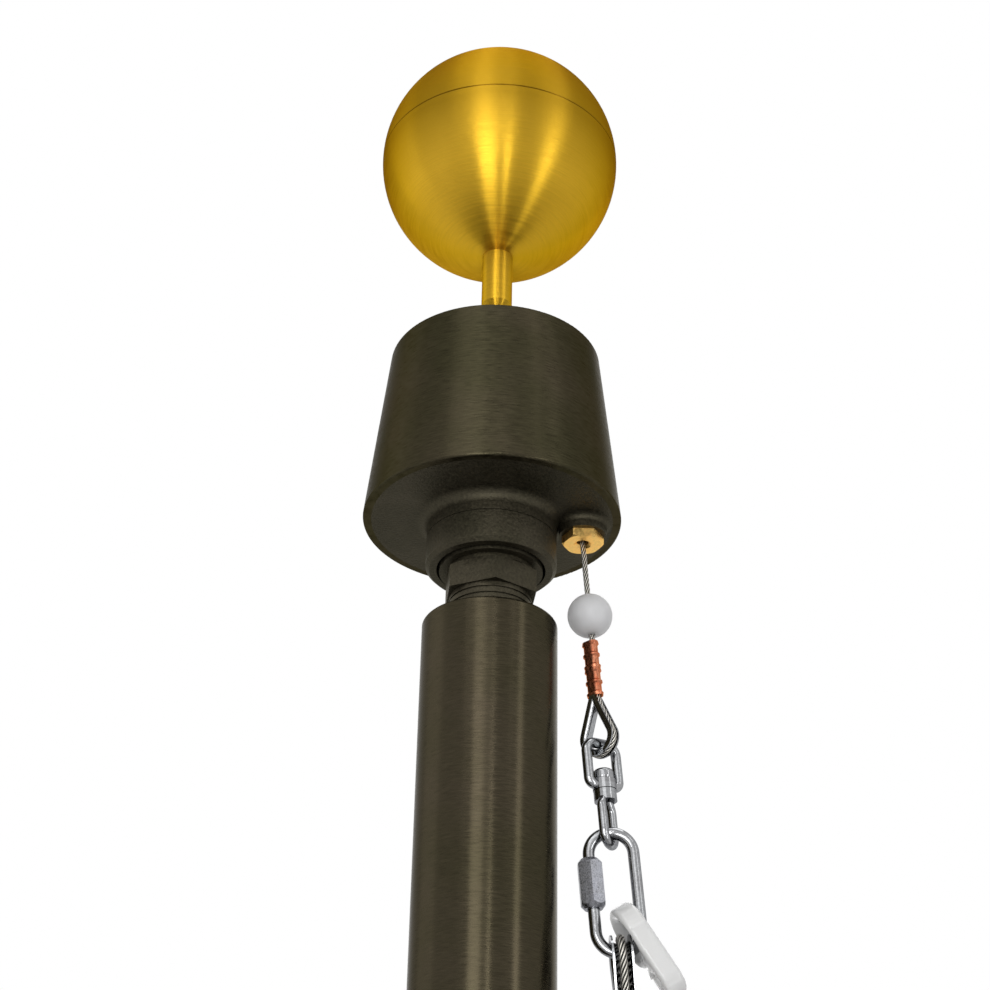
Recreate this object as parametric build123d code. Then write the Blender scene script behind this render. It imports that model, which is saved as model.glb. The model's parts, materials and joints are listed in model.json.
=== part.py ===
from build123d import *
import os
from math import cos, pi, radians, sin, sqrt, tan

os.makedirs("parts", exist_ok=True)

# Head of an internal-halyard flagpole: the top length of the pole, its revolving truck with a ball
# finial, and the end of the wire halyard with the fittings that carry the flag.
# Millimetres, +Z up. The origin is the centre of the pole's square-cut lower end, and +X points to
# the side where the halyard leaves the truck.

# ---- pole ----
POLE_RADIUS = 38.1
POLE_WALL = 4.8
POLE_LENGTH = 450.0
POLE_EDGE_ROUND = 1.6
PLUG_SLEEVE_LENGTH = 70.0
PLUG_SLEEVE_WALL = 6.0
PLUG_TOP_THICKNESS = 10.0
PLUG_FIT = 0.1

# ---- spindle ----
SPINDLE_RADIUS = 19.0
SPINDLE_BORE_RADIUS = 12.0
SPINDLE_TAIL = 26.0
NECK_RADIUS = SPINDLE_RADIUS + 4.5
NECK_STEP_RADIUS = NECK_RADIUS + 2.0
NECK_STEP_HEIGHT = 5.0
NECK_HEIGHT = 17.0
NECK_GROOVES = [9.4, 13.2]
NECK_GROOVE_WIDTH = 1.2
NECK_GROOVE_DEPTH = 0.8
HEX_FLATS = 2 * (SPINDLE_RADIUS + 5.5)
HEX_HEIGHT = 15.0
HEX_TURN = 35.5
HEX_CHAMFER = 2.2
COLLAR_CLEARANCE = 1.6
COLLAR_HEIGHT = 7.0
COLLAR_TURN_RADIUS = SPINDLE_RADIUS + 6.0
COLLAR_GAP = 2.4

# ---- revolving truck ----
TRUCK_LIFT = 67.5
TRUCK_BOTTOM_RADIUS = 75.0
TRUCK_TOP_RADIUS = 63.25
TRUCK_HEIGHT = 111.5
TRUCK_WALL = 5.0
TRUCK_ROOF = 10.0
TRUCK_EDGE_ROUND = 1.2
BASE_THICKNESS = 12.0
HUB_RADIUS = 37.5
HUB_DEPTH = 31.6
HUB_SEAM_DEPTH = 12.0
HUB_ROOT = 6.0
HUB_SEAM_BEVEL = 0.5
HUB_CHAMFER = 2.2
HUB_MOUTH_RADIUS = 31.2
BUSH_OUTER_RADIUS = SPINDLE_RADIUS + 6.0
BUSH_HEIGHT = 20.0
BUSH_RUNNING_FIT = 0.06
BEARING_TOWER_RADIUS = BUSH_OUTER_RADIUS + 8.0
BEARING_TOWER_HEIGHT = 62.0
RETAINING_NUT_HEIGHT = 9.0
RETAINING_NUT_FLATS = 2 * (SPINDLE_RADIUS + 4.0)
END_PLAY = 0.4

# ---- halyard exit ----
EXIT_RADIUS = 52.6
EXIT_BOSS_RADIUS = 13.8
EXIT_BOSS_DEPTH = 7.5
EXIT_BOSS_ROOT = 3.3
BUSHING_FLATS = 21.0
BUSHING_HEAD = 5.1
BUSHING_SHANK_RADIUS = 8.0
BUSHING_SHANK = 14.0
BUSHING_HOLE_RADIUS = 3.35
BUSHING_MOUTH = 1.6

# ---- finial ----
STEM_RADIUS = 9.5
STEM_EDGE = 1.0
STEM_FOOT = 45.9
STEM_STUD_RADIUS = 6.35
BALL_RADIUS = 76.2
BALL_WALL = 1.6
BALL_SEAM_BEVEL = 0.45
BALL_CENTRE_HEIGHT = 272.0
STEM_NUT_FLATS = 19.0
STEM_NUT_HEIGHT = 11.0
STEM_SEAT_RADIUS = 17.0
STEM_SEAT_HEIGHT = 4.0

# ---- halyard ----
HALYARD_LEAN = 4.6
CABLE_RADIUS = 1.6
BEAD_RADIUS = 12.7
BEAD_DROP = 59.1
BEAD_HOLE_RADIUS = 1.9
SLEEVE_TOP_DROP = 75.4
SLEEVE_LENGTH = 16.7
SLEEVE_WALL = 1.5
SLEEVE_CRIMP = 0.45
SLEEVE_RIDGE = 0.3
THIMBLE_EYE_RADIUS = 6.6
THIMBLE_SHEET = 1.0
THIMBLE_ROUND = 0.33
THIMBLE_FLANK = 21.4
THIMBLE_LENGTH = 35.5
THIMBLE_WIDTH = 7.0
THIMBLE_TURN = -40.0
SEAT_GAP = 0.05
LINK_GAP = 0.35
EYE_GAP = 1.0

# ---- swivel ----
BOW_BAR_RADIUS = 2.8
BOW_WIDTH = 25.0
BOW_LENGTH = 30.0
BOW_CORNER = 3.4
BOW_TURN = 32.0
BOW_BOSS_RADIUS = 6.4
BOW_BOSS_HEIGHT = 5.6
PIN_RADIUS = 2.6
PIN_FIT = 0.08
PIN_HEAD_RADIUS = 5.7
PIN_HEAD_HEIGHT = 6.0
PIN_HEAD_ROUND = 2.4
PIN_WAIST = 0.6
PIN_PLAY = 0.35
EYE_BAR_RADIUS = 2.5
EYE_WIDTH = 19.0
EYE_LENGTH = 32.8
EYE_TURN = 64.0
EYE_COLLAR_RADIUS = 6.2
EYE_COLLAR_HEIGHT = 6.0
EYE_SHOULDER = 9.4

# ---- quick link ----
LINK_BAR_RADIUS = 3.15
LINK_LENGTH = 71.5
LINK_WIDTH = 30.0
LINK_OPENING = 8.0
LINK_THREAD_GRIP = 3.5
NUT_FLATS = 12.5
NUT_LENGTH = 27.0
NUT_TOP_INSET = 2.4
NUT_CHAMFER = 2.4
NUT_CHAMFER_SLOPE = 50.0
NUT_FIT = 0.1

# ---- flag snap ----
SNAP_LEAN = 28.0
SNAP_THICKNESS = 11.6
SNAP_EYE_RADIUS = 10.6
SNAP_EYE_WALL = 4.8
SNAP_END_WALL = 8.0
SNAP_HOOK_WALL = 4.6
SNAP_MOUTH = 7.0
SNAP_LENGTH = 56.0
SNAP_SPINE_WIDTH = 11.5
SNAP_HOOK_RADIUS = 6.0
SNAP_SEAT_ANGLE = 66.0
SNAP_HANG = -1.4
SNAP_SHIFT = 1.2
SNAP_EDGE_ROUND = 2.6
SNAP_BIGHT_ROUND = 1.6
SNAP_EYE_BELL = 5.2

# ---- lower pendant ----
PENDANT_CABLE_RADIUS = 2.25
PENDANT_THIMBLE_WIDTH = 10.7
PENDANT_THIMBLE_LENGTH = 42.0
PENDANT_FLANK = 16.7
PENDANT_SLEEVE_LENGTH = 38.0
PENDANT_GAP = 0.7

TRUCK_BASE_Z = POLE_LENGTH + TRUCK_LIFT


def save(node, shape):
    """Writes one sub-part to its own STEP file."""
    export_step(shape, f"parts/{node}.step")


def ring(outer, inner, height, z=0.0):
    """A tube that stands on z."""
    body = Cylinder(outer, height, align=(Align.CENTER, Align.CENTER, Align.MIN))
    bore = Cylinder(inner, height, align=(Align.CENTER, Align.CENTER, Align.MIN))
    return Pos(0, 0, z) * (body - bore)


def hexagon(flats, height, z=0.0, chamfer=1.0, foot_chamfer=1.0, slope=30.0, turn=0.0):
    """A hexagonal prism whose corners are turned down by a cone at its top and its foot."""
    corner = flats / sqrt(3)
    rise = tan(radians(slope))
    prism = extrude(Rot(0, 0, turn) * RegularPolygon(corner, 6), height)
    cones = turned([
        (0, 0),
        (corner - foot_chamfer, 0),
        (corner, foot_chamfer * rise),
        (corner, height - chamfer * rise),
        (corner - chamfer, height),
        (0, height),
    ])
    return Pos(0, 0, z) * (prism & cones)


def turned(points):
    """A solid turned about Z from its half outline in (radius, height)."""
    return revolve(Plane.XZ * make_face(Polyline(*points, close=True)), Axis.Z)


# ---------------------------------------------------------------- pole and spindle


def pole_shaft():
    """The aluminium tube, cut square at the bottom and eased round its top edge."""
    tube = ring(POLE_RADIUS, POLE_RADIUS - POLE_WALL, POLE_LENGTH)
    return fillet(tube.edges().group_by(Axis.Z)[-1].sort_by(SortBy.LENGTH)[-1], POLE_EDGE_ROUND)


def top_plug():
    """The cup pressed into the pole's top, with a threaded hole for the spindle."""
    radius = POLE_RADIUS - POLE_WALL - PLUG_FIT
    cup = ring(radius, radius - PLUG_SLEEVE_WALL, PLUG_SLEEVE_LENGTH, POLE_LENGTH - PLUG_SLEEVE_LENGTH)
    lid = ring(radius, SPINDLE_RADIUS, PLUG_TOP_THICKNESS, POLE_LENGTH - PLUG_TOP_THICKNESS)
    return cup + lid


def spindle_neck():
    """The round shoulder that stands on the plug under the hexagon, with two grooves turned in it."""
    step = ring(NECK_STEP_RADIUS, SPINDLE_RADIUS, NECK_STEP_HEIGHT, POLE_LENGTH)
    neck = ring(NECK_RADIUS, SPINDLE_RADIUS, NECK_HEIGHT, POLE_LENGTH)
    for height in NECK_GROOVES:
        groove = ring(NECK_RADIUS + 1, NECK_RADIUS - NECK_GROOVE_DEPTH, NECK_GROOVE_WIDTH, POLE_LENGTH + height)
        neck = neck - groove
    return step + neck


def spindle_hex():
    """The lock nut that a wrench turns to tighten the spindle into the plug."""
    base = POLE_LENGTH + NECK_HEIGHT
    bore = ring(SPINDLE_RADIUS + 20, SPINDLE_RADIUS, HEX_HEIGHT, base)
    return hexagon(HEX_FLATS, HEX_HEIGHT, base, HEX_CHAMFER, 0.2, turn=HEX_TURN) & bore


def collar_base():
    """Height of the top of the lock nut, where the bearing collar stands."""
    return POLE_LENGTH + NECK_HEIGHT + HEX_HEIGHT


def spindle_collar():
    """The flanged collar under the lower bearing: a waist, then the flange that fills the hub's mouth."""
    base = collar_base()
    waist = ring(COLLAR_TURN_RADIUS, SPINDLE_RADIUS, COLLAR_GAP + COLLAR_HEIGHT, base)
    flange = ring(HUB_MOUTH_RADIUS - COLLAR_CLEARANCE, SPINDLE_RADIUS, COLLAR_HEIGHT, base + COLLAR_GAP)
    return waist + flange


def spindle_tube():
    """The hollow spindle: the truck turns on it, and the halyard comes up through it."""
    foot = POLE_LENGTH - SPINDLE_TAIL
    head = TRUCK_BASE_Z + BEARING_TOWER_HEIGHT + END_PLAY + RETAINING_NUT_HEIGHT + 2
    return ring(SPINDLE_RADIUS, SPINDLE_BORE_RADIUS, head - foot, foot)


def retaining_nut():
    """The nut on the spindle's head that keeps the truck from lifting off."""
    base = TRUCK_BASE_Z + BEARING_TOWER_HEIGHT + END_PLAY
    bore = ring(SPINDLE_RADIUS + 20, SPINDLE_RADIUS, RETAINING_NUT_HEIGHT, base)
    return hexagon(RETAINING_NUT_FLATS, RETAINING_NUT_HEIGHT, base) & bore


# ---------------------------------------------------------------- revolving truck


def housing_radius(height):
    """Outer radius of the tapered housing at a height above its bottom face."""
    return TRUCK_BOTTOM_RADIUS + (TRUCK_TOP_RADIUS - TRUCK_BOTTOM_RADIUS) * height / TRUCK_HEIGHT


def truck_housing():
    """The turned cone, hollow under its roof, with the hole for the finial's stem."""
    inner_top = TRUCK_HEIGHT - TRUCK_ROOF
    shell = turned([
        (housing_radius(0) - TRUCK_WALL, 0),
        (housing_radius(0), 0),
        (TRUCK_TOP_RADIUS, TRUCK_HEIGHT),
        (STEM_STUD_RADIUS, TRUCK_HEIGHT),
        (STEM_STUD_RADIUS, inner_top),
        (housing_radius(inner_top) - TRUCK_WALL, inner_top),
        (housing_radius(0) - TRUCK_WALL, BASE_THICKNESS),
    ])
    rims = shell.edges().filter_by(GeomType.CIRCLE).sort_by(SortBy.RADIUS)
    return Pos(0, 0, TRUCK_BASE_Z) * fillet([rims[-1], rims.filter_by(
        lambda rim: abs(rim.radius - TRUCK_TOP_RADIUS) < 0.01)[0]], TRUCK_EDGE_ROUND)


def rooted_post(inner, outer, depth, root):
    """A round post hanging from height 0, with a concave round where it meets the face above."""
    bend = radians(45)
    outline = (
        Line((inner, -depth), (outer, -depth))
        + Line((outer, -depth), (outer, -root))
        + ThreePointArc(
            (outer, -root), (outer + root * (1 - cos(bend)), -root * (1 - sin(bend))), (outer + root, 0))
        + Polyline((outer + root, 0), (outer + root, 1), (inner, 1), (inner, -depth))
    )
    return revolve(Plane.XZ * make_face(outline), Axis.Z)


def truck_base():
    """The cast bottom plate with the hub, the bearing tower above it and the halyard's boss."""
    plate_radius = TRUCK_BOTTOM_RADIUS - TRUCK_WALL
    plate = turned([
        (BUSH_OUTER_RADIUS, 0),
        (plate_radius, 0),
        (plate_radius, BASE_THICKNESS),
        (BEARING_TOWER_RADIUS, BASE_THICKNESS),
        (BEARING_TOWER_RADIUS, BEARING_TOWER_HEIGHT),
        (BUSH_OUTER_RADIUS, BEARING_TOWER_HEIGHT),
    ])
    hub = rooted_post(BUSH_OUTER_RADIUS, HUB_RADIUS, HUB_SEAM_DEPTH, HUB_ROOT)
    boss = Pos(EXIT_RADIUS, 0, 0) * rooted_post(0, EXIT_BOSS_RADIUS, EXIT_BOSS_DEPTH, EXIT_BOSS_ROOT)
    passage = Pos(EXIT_RADIUS, 0, 0) * Cylinder(BUSHING_SHANK_RADIUS, 60)
    bearing_bore = Cylinder(BUSH_OUTER_RADIUS, 4 * HUB_DEPTH)
    return Pos(0, 0, TRUCK_BASE_Z) * (plate + hub + boss - passage - bearing_bore)


def bearing_cap():
    """The ring screwed under the hub, with the mouth that the spindle's collar fills."""
    cap = turned([
        (HUB_MOUTH_RADIUS, -HUB_DEPTH),
        (HUB_RADIUS - HUB_CHAMFER, -HUB_DEPTH),
        (HUB_RADIUS, -HUB_DEPTH + HUB_CHAMFER),
        (HUB_RADIUS, -HUB_SEAM_DEPTH - HUB_SEAM_BEVEL),
        (HUB_RADIUS - HUB_SEAM_BEVEL, -HUB_SEAM_DEPTH),
        (HUB_MOUTH_RADIUS - 4, -HUB_SEAM_DEPTH),
        (HUB_MOUTH_RADIUS - 4, -HUB_SEAM_DEPTH - 4),
        (HUB_MOUTH_RADIUS, -HUB_SEAM_DEPTH - 4),
    ])
    return Pos(0, 0, TRUCK_BASE_Z) * cap


def bush(bottom):
    """A bronze bush with a running fit on the spindle."""
    return ring(BUSH_OUTER_RADIUS, SPINDLE_RADIUS + BUSH_RUNNING_FIT, BUSH_HEIGHT, TRUCK_BASE_Z + bottom)


def cable_bushing():
    """The brass bushing screwed into the boss, its hole belled at the mouth for the halyard."""
    head = hexagon(BUSHING_FLATS, BUSHING_HEAD, -BUSHING_HEAD, 0.2, 1.3)
    shank = Cylinder(BUSHING_SHANK_RADIUS, BUSHING_SHANK, align=(Align.CENTER, Align.CENTER, Align.MIN))
    bell = Cone(BUSHING_HOLE_RADIUS + BUSHING_MOUTH, BUSHING_HOLE_RADIUS, BUSHING_MOUTH,
                align=(Align.CENTER, Align.CENTER, Align.MIN))
    body = head + shank - Cylinder(BUSHING_HOLE_RADIUS, 60) - Pos(0, 0, -BUSHING_HEAD) * bell
    return Pos(EXIT_RADIUS, 0, TRUCK_BASE_Z - EXIT_BOSS_DEPTH) * body


# ---------------------------------------------------------------- finial


def stem_seat():
    """The round seat that the lock nut presses on the truck's roof."""
    return ring(STEM_SEAT_RADIUS, STEM_STUD_RADIUS, STEM_SEAT_HEIGHT, TRUCK_BASE_Z + TRUCK_HEIGHT)


def stem_nut():
    """The lock nut on the stem's threaded stud."""
    base = TRUCK_BASE_Z + TRUCK_HEIGHT + STEM_SEAT_HEIGHT
    bore = ring(STEM_RADIUS + 20, STEM_STUD_RADIUS, STEM_NUT_HEIGHT, base)
    return hexagon(STEM_NUT_FLATS, STEM_NUT_HEIGHT, base) & bore


def finial_stem():
    """The rod under the ball, and the stud that runs down from it through the nut into the truck's roof."""
    ball_base = BALL_CENTRE_HEIGHT - sqrt(BALL_RADIUS ** 2 - STEM_RADIUS ** 2)
    shoulder = TRUCK_HEIGHT + STEM_FOOT
    foot = TRUCK_HEIGHT - TRUCK_ROOF
    rod = turned([
        (0, foot),
        (STEM_STUD_RADIUS, foot),
        (STEM_STUD_RADIUS, shoulder - (STEM_RADIUS - STEM_STUD_RADIUS)),
        (STEM_RADIUS, shoulder),
        (STEM_RADIUS, ball_base - STEM_EDGE),
        (STEM_RADIUS - STEM_EDGE, ball_base),
        (0, ball_base),
    ])
    tenon = Pos(0, 0, shoulder) * Cylinder(
        STEM_STUD_RADIUS, ball_base + 12 - shoulder, align=(Align.CENTER, Align.CENTER, Align.MIN))
    ball = Pos(0, 0, BALL_CENTRE_HEIGHT) * Sphere(BALL_RADIUS)
    return Pos(0, 0, TRUCK_BASE_Z) * (rod - ball + tenon)


def ball_half(side):
    """Half of the spun ball: side is 1 for the upper shell and -1 for the lower one."""
    shell = Sphere(BALL_RADIUS) - Sphere(BALL_RADIUS - BALL_WALL)
    half = shell & Pos(0, 0, side * BALL_RADIUS) * Box(4 * BALL_RADIUS, 4 * BALL_RADIUS, 2 * BALL_RADIUS)
    half = half - turned([
        (BALL_RADIUS - BALL_SEAM_BEVEL, 0),
        (BALL_RADIUS + BALL_SEAM_BEVEL, -2 * BALL_SEAM_BEVEL),
        (BALL_RADIUS + BALL_SEAM_BEVEL, 2 * BALL_SEAM_BEVEL),
    ])
    if side < 0:
        half = half - Pos(0, 0, -BALL_RADIUS) * Cylinder(STEM_STUD_RADIUS, 30)
    return Pos(0, 0, TRUCK_BASE_Z + BALL_CENTRE_HEIGHT) * half


# ---------------------------------------------------------------- halyard's fittings
# They are built on the halyard's own line: height 0 is level with the truck's bottom face, and
# down the line is -Z. halyard_place() tips that line out from the pole and puts it on the truck.


def halyard_place(shape):
    """Puts a piece built about the halyard's line in its place on the truck."""
    lean = radians(HALYARD_LEAN)
    mouth = EXIT_BOSS_DEPTH + BUSHING_HEAD
    top = (EXIT_RADIUS - mouth * tan(lean), 0, TRUCK_BASE_Z)
    return Pos(*top) * Rot(0, -HALYARD_LEAN, 0) * shape


def thimble_crown(cable_radius):
    """Radius of a cable's centreline round a thimble's crown."""
    return THIMBLE_EYE_RADIUS + THIMBLE_SHEET + SEAT_GAP + cable_radius


def thimble_rim(cable_radius):
    """Outer radius of a thimble's crown, nearly level with the outside of its cable."""
    return thimble_crown(cable_radius) + 0.9 * cable_radius


def thimble(cable_radius, width, length, flank):
    """A drop-shaped eye of rounded channel section, its crown about the origin and its tip downwards."""
    rim = thimble_rim(cable_radius)
    depth = rim - THIMBLE_EYE_RADIUS
    round_outside = THIMBLE_ROUND * width
    outside = Pos(depth / 2, 0) * Rectangle(depth, width)
    inside = Pos(depth / 2 + THIMBLE_SHEET, 0) * Rectangle(depth, width - 2 * THIMBLE_SHEET)
    outside = fillet(outside.vertices().group_by(Axis.X)[0], round_outside)
    inside = fillet(inside.vertices().group_by(Axis.X)[0], round_outside - THIMBLE_SHEET)
    turn = radians(flank)
    rise = (cos(turn), -sin(turn))
    side = (THIMBLE_EYE_RADIUS * rise[0], 0, THIMBLE_EYE_RADIUS * rise[1])
    middle = radians(90 - flank) / 2
    crown = ThreePointArc((0, 0, THIMBLE_EYE_RADIUS), (
        THIMBLE_EYE_RADIUS * cos(middle), 0, THIMBLE_EYE_RADIUS * sin(middle)), side)
    leg = Line(side, (side[0] - length * sin(turn), 0, side[2] - length * cos(turn)))
    section = Plane(origin=(0, 0, THIMBLE_EYE_RADIUS), x_dir=(0, 0, 1), z_dir=(1, 0, 0)) * (outside - inside)
    half = sweep(section, Wire([crown, leg]))
    keep = Box(4 * rim, 2 * width, length, align=(Align.MIN, Align.CENTER, Align.MAX))
    half = half & Pos(0, 0, rim) * keep
    return half + mirror(half, Plane.YZ)


def sleeve(cable_radius, length):
    """A crimped oval sleeve round two cables side by side, pinched in bands; its top is at 0."""
    wide = 2 * cable_radius + SLEEVE_WALL
    narrow = cable_radius + SLEEVE_WALL

    def oval(z, grow):
        return Plane((0, 0, z)) * SlotOverall(2 * (wide + grow), 2 * (narrow + grow))

    bands = [
        (0, 0), (0.1, SLEEVE_RIDGE), (0.16, -SLEEVE_CRIMP), (0.42, -SLEEVE_CRIMP), (0.47, SLEEVE_RIDGE),
        (0.53, SLEEVE_RIDGE), (0.58, -SLEEVE_CRIMP), (0.84, -SLEEVE_CRIMP), (0.9, SLEEVE_RIDGE), (1, 0),
    ]
    rings = [oval(-share * length, grow) for share, grow in bands]
    body = Part() + [loft([upper, lower]) for upper, lower in zip(rings, rings[1:])]
    height = 2 * (cable_radius + SEAT_GAP)
    passage = extrude(Plane((0, 0, -2 * length)) * SlotOverall(2 * height, height), 4 * length)
    return body - passage


def bar(path, radius):
    """A round bar swept along a path."""
    return sweep(Plane(origin=path @ 0, z_dir=path % 0) * Circle(radius), path)


def upright(points):
    """Points given as (across, up), put in the XZ plane."""
    return [(across, 0, up) for across, up in points]


def cord(points, radii, radius):
    """A wire rope along straight runs and the bends between them."""
    path = FilletPolyline(*upright(points), radius=radii)
    body = bar(path, radius)
    print("cord bends", radii, "volume", round(body.volume), "of", round(pi * radius ** 2 * path.length))
    return body


# ---------------------------------------------------------------- the halyard's end

# The halyard's route as (across, up) in the plane of its thimble, and the bend at each inner point.
HALYARD_ROUTE = [
    (0, 50), (0, -112.5), (9.52, -136.75), (-1.65, -145.21), (-12.82, -136.75), (-3.3, -112.5), (-3.3, -74.6),
]
HALYARD_BENDS = [20, 9.25, 9.25, 9.25, 20]

SLEEVES_END = SLEEVE_TOP_DROP + 2 * SLEEVE_LENGTH
HALYARD_LAY = CABLE_RADIUS + SEAT_GAP
HALYARD_CROWN = SLEEVES_END + THIMBLE_LENGTH - thimble_rim(CABLE_RADIUS)
BOW_TOP = HALYARD_CROWN + THIMBLE_EYE_RADIUS - LINK_GAP - BOW_BAR_RADIUS
BOW_BOTTOM = BOW_TOP + BOW_LENGTH - BOW_BAR_RADIUS
EYE_TOP = BOW_BOTTOM + PIN_PLAY
EYE_BOTTOM = EYE_TOP + EYE_LENGTH - EYE_BAR_RADIUS
LINK_TOP = EYE_BOTTOM - EYE_BAR_RADIUS - EYE_GAP - LINK_BAR_RADIUS
LINK_BOTTOM = LINK_TOP + LINK_LENGTH - 2 * LINK_BAR_RADIUS
PENDANT_CROWN = LINK_BOTTOM - LINK_BAR_RADIUS - PENDANT_GAP + THIMBLE_EYE_RADIUS


def on_thimble_axis(shape):
    """Shifts a piece from the halyard's own line to the middle of its thimble."""
    return Rot(0, 0, THIMBLE_TURN) * Pos(-HALYARD_LAY, 0, 0) * Rot(0, 0, -THIMBLE_TURN) * shape


def chain_place(drop, turn, shape):
    """Puts a piece on the chain under the thimble: its own origin at a drop, turned about the line."""
    return halyard_place(on_thimble_axis(Pos(0, 0, -drop) * Rot(0, 0, turn) * shape))


def halyard_cable():
    """The wire halyard from inside the truck, down through the sleeves and round the thimble."""
    return halyard_place(Rot(0, 0, THIMBLE_TURN) * cord(HALYARD_ROUTE, HALYARD_BENDS, CABLE_RADIUS))


def halyard_bead():
    """The nylon ball on the halyard that stops the sleeves short of the bushing."""
    ball = Sphere(BEAD_RADIUS) - Cylinder(BEAD_HOLE_RADIUS, 4 * BEAD_RADIUS)
    return halyard_place(Pos(0, 0, -BEAD_DROP) * ball)


def halyard_sleeve(number):
    """One of the two copper sleeves: number 0 is the upper one."""
    drop = SLEEVE_TOP_DROP + number * SLEEVE_LENGTH
    return chain_place(drop, THIMBLE_TURN, sleeve(CABLE_RADIUS, SLEEVE_LENGTH))


def halyard_thimble():
    """The thimble in the halyard's eye, crown down."""
    shape = thimble(CABLE_RADIUS, THIMBLE_WIDTH, THIMBLE_LENGTH, THIMBLE_FLANK)
    return chain_place(HALYARD_CROWN, THIMBLE_TURN, Rot(180, 0, 0) * shape)


# ---------------------------------------------------------------- swivel


def swivel_bow():
    """The swivel's upper half: a D of round bar with a bored boss in its foot."""
    side = BOW_WIDTH / 2 - BOW_BAR_RADIUS
    foot = BOW_BOTTOM - BOW_TOP
    bridge = -foot + BOW_BOSS_HEIGHT / 2
    path = FilletPolyline(
        *upright([(-4, bridge), (-side, bridge), (-side, 0), (side, 0), (side, bridge), (4, bridge)]),
        radius=[BOW_CORNER, 6, 6, BOW_CORNER])
    boss = Pos(0, 0, -foot) * Cylinder(
        BOW_BOSS_RADIUS, BOW_BOSS_HEIGHT, align=(Align.CENTER, Align.CENTER, Align.MIN))
    bore = Pos(0, 0, -foot) * Cylinder(PIN_RADIUS + PIN_FIT, 4 * BOW_BOSS_HEIGHT)
    return chain_place(BOW_TOP, BOW_TURN, bar(path, BOW_BAR_RADIUS) + boss - bore)


def swivel_pin():
    """The headed pin that turns in the boss, riveted into the eye's collar."""
    boss_top = BOW_BOSS_HEIGHT + PIN_PLAY
    head_top = boss_top + PIN_PLAY + PIN_HEAD_HEIGHT
    bend = PIN_HEAD_ROUND * (1 - cos(radians(45)))
    outline = (
        Polyline(
            (0, head_top),
            (0, -EYE_COLLAR_HEIGHT + 1),
            (PIN_RADIUS, -EYE_COLLAR_HEIGHT + 1),
            (PIN_RADIUS, boss_top + PIN_PLAY),
            (PIN_HEAD_RADIUS - PIN_WAIST, boss_top + PIN_PLAY),
            (PIN_HEAD_RADIUS, boss_top + PIN_PLAY + 2 * PIN_WAIST),
            (PIN_HEAD_RADIUS, head_top - PIN_HEAD_ROUND),
        )
        + ThreePointArc(
            (PIN_HEAD_RADIUS, head_top - PIN_HEAD_ROUND), (PIN_HEAD_RADIUS - bend, head_top - bend),
            (PIN_HEAD_RADIUS - PIN_HEAD_ROUND, head_top))
        + Line((PIN_HEAD_RADIUS - PIN_HEAD_ROUND, head_top), (0, head_top))
    )
    return chain_place(EYE_TOP, 0, revolve(Plane.XZ * make_face(outline), Axis.Z))


def swivel_eye():
    """The swivel's lower half: a collar on the pin, and the loop that carries the quick link."""
    side = EYE_WIDTH / 2 - EYE_BAR_RADIUS
    foot = EYE_BOTTOM - EYE_TOP
    path = FilletPolyline(
        *upright([
            (-2.4, -3.6), (-side, -EYE_SHOULDER), (-side, -foot), (side, -foot), (side, -EYE_SHOULDER), (2.4, -3.6),
        ]),
        radius=[5, 6.5, 6.5, 5])
    collar = Cylinder(EYE_COLLAR_RADIUS, EYE_COLLAR_HEIGHT, align=(Align.CENTER, Align.CENTER, Align.MAX))
    bore = Cylinder(PIN_RADIUS, EYE_COLLAR_HEIGHT - 1, align=(Align.CENTER, Align.CENTER, Align.MAX))
    return chain_place(EYE_TOP, EYE_TURN, bar(path, EYE_BAR_RADIUS) + collar - bore)


# ---------------------------------------------------------------- quick link and what hangs on it


def quick_link():
    """The oval link, open in its left leg where the nut closes it."""
    side = LINK_WIDTH / 2 - LINK_BAR_RADIUS
    foot = LINK_BOTTOM - LINK_TOP
    stub_end = -side - NUT_TOP_INSET - LINK_THREAD_GRIP
    path = Wire([
        Line((-side, 0, stub_end), (-side, 0, -side)),
        ThreePointArc((-side, 0, -side), (0, 0, 0), (side, 0, -side)),
        Line((side, 0, -side), (side, 0, side - foot)),
        ThreePointArc((side, 0, side - foot), (0, 0, -foot), (-side, 0, side - foot)),
        Line((-side, 0, side - foot), (-side, 0, stub_end - LINK_OPENING)),
    ])
    return chain_place(LINK_TOP, 0, bar(path, LINK_BAR_RADIUS))


def quick_link_nut():
    """The long hexagon nut that closes the link's opening."""
    side = LINK_WIDTH / 2 - LINK_BAR_RADIUS
    nut = hexagon(NUT_FLATS, NUT_LENGTH, 0, NUT_CHAMFER, NUT_CHAMFER, NUT_CHAMFER_SLOPE, 30)
    nut = nut - Cylinder(LINK_BAR_RADIUS + NUT_FIT, 3 * NUT_LENGTH)
    return chain_place(LINK_TOP, 0, Pos(-side, 0, -side - NUT_TOP_INSET - NUT_LENGTH) * nut)


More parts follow.
